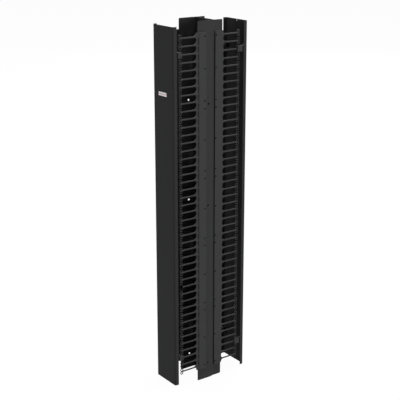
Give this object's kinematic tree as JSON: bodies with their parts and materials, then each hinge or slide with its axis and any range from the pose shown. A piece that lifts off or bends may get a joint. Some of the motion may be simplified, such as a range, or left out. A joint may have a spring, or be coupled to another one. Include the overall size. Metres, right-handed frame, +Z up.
{
  "type": "vertical cable manager",
  "caption": "Tall double-sided vertical cable manager: steel spine with finger combs on both sides and hinged channel covers front and rear.",
  "frame": {"origin": "on the floor, in the middle of the width and of the depth over the covers", "axes": "+X across the width towards the latch side of the covers, +Y from the front cover to the rear cover, +Z up"},
  "size_m": [0.192, 0.5043, 2.134],
  "materials": {
    "spine_steel": "fine-texture black powder coat",
    "cover_steel": "fine-texture black powder coat",
    "bracket_steel": "black powder coat",
    "comb_plastic": "moulded, satin",
    "clip_plastic": "moulded, satin",
    "trim_plastic": "moulded, matt",
    "screw_steel": "black oxide",
    "pin_steel": "bright zinc",
    "label_film": "printed film, plain white with a muted red band"
  },
  "bodies": {
    "spine": {"left_side_panel": "spine_steel", "right_side_panel": "spine_steel", "centre_web_1": "spine_steel", "centre_web_2": "spine_steel", "centre_web_3": "spine_steel", "centre_web_4": "spine_steel", "pass_through_trim_1": "trim_plastic", "pass_through_trim_2": "trim_plastic", "pass_through_trim_3": "trim_plastic", "pass_through_trim_4": "trim_plastic", "front_left_comb_1": "comb_plastic", "front_left_comb_2": "comb_plastic", "front_left_comb_3": "comb_plastic", "front_left_comb_4": "comb_plastic", "front_left_comb_5": "comb_plastic", "front_right_comb_1": "comb_plastic", "front_right_comb_2": "comb_plastic", "front_right_comb_3": "comb_plastic", "front_right_comb_4": "comb_plastic", "front_right_comb_5": "comb_plastic", "rear_left_comb_1": "comb_plastic", "rear_left_comb_2": "comb_plastic", "rear_left_comb_3": "comb_plastic", "rear_left_comb_4": "comb_plastic", "rear_left_comb_5": "comb_plastic", "rear_right_comb_1": "comb_plastic", "rear_right_comb_2": "comb_plastic", "rear_right_comb_3": "comb_plastic", "rear_right_comb_4": "comb_plastic", "rear_right_comb_5": "comb_plastic", "front_left_comb_screws": "screw_steel", "front_right_comb_screws": "screw_steel", "rear_left_comb_screws": "screw_steel", "rear_right_comb_screws": "screw_steel", "front_upper_hinge_clip": "clip_plastic", "front_upper_latch_clip": "clip_plastic", "front_lower_hinge_clip": "clip_plastic", "front_lower_latch_clip": "clip_plastic", "rear_upper_hinge_clip": "clip_plastic", "rear_upper_latch_clip": "clip_plastic", "rear_lower_hinge_clip": "clip_plastic", "rear_lower_latch_clip": "clip_plastic", "front_clip_screws": "screw_steel", "rear_clip_screws": "screw_steel"},
    "front_door": {"front_cover": "cover_steel", "front_pin_brackets": "bracket_steel", "front_hinge_pins": "pin_steel", "cover_label": "label_film"},
    "rear_door": {"rear_cover": "cover_steel", "rear_pin_brackets": "bracket_steel", "rear_hinge_pins": "pin_steel"}
  },
  "joints": [
    {"name": "front_cover_hinge", "type": "hinge", "parent": "spine", "child": "front_door", "pos_m": [-0.088, -0.23, 1.067], "axis": [0, 0, -1], "range_deg": [0, 105]},
    {"name": "rear_cover_hinge", "type": "hinge", "parent": "spine", "child": "rear_door", "pos_m": [-0.088, 0.23, 1.067], "axis": [0, 0, 1], "range_deg": [0, 105]}
  ]
}
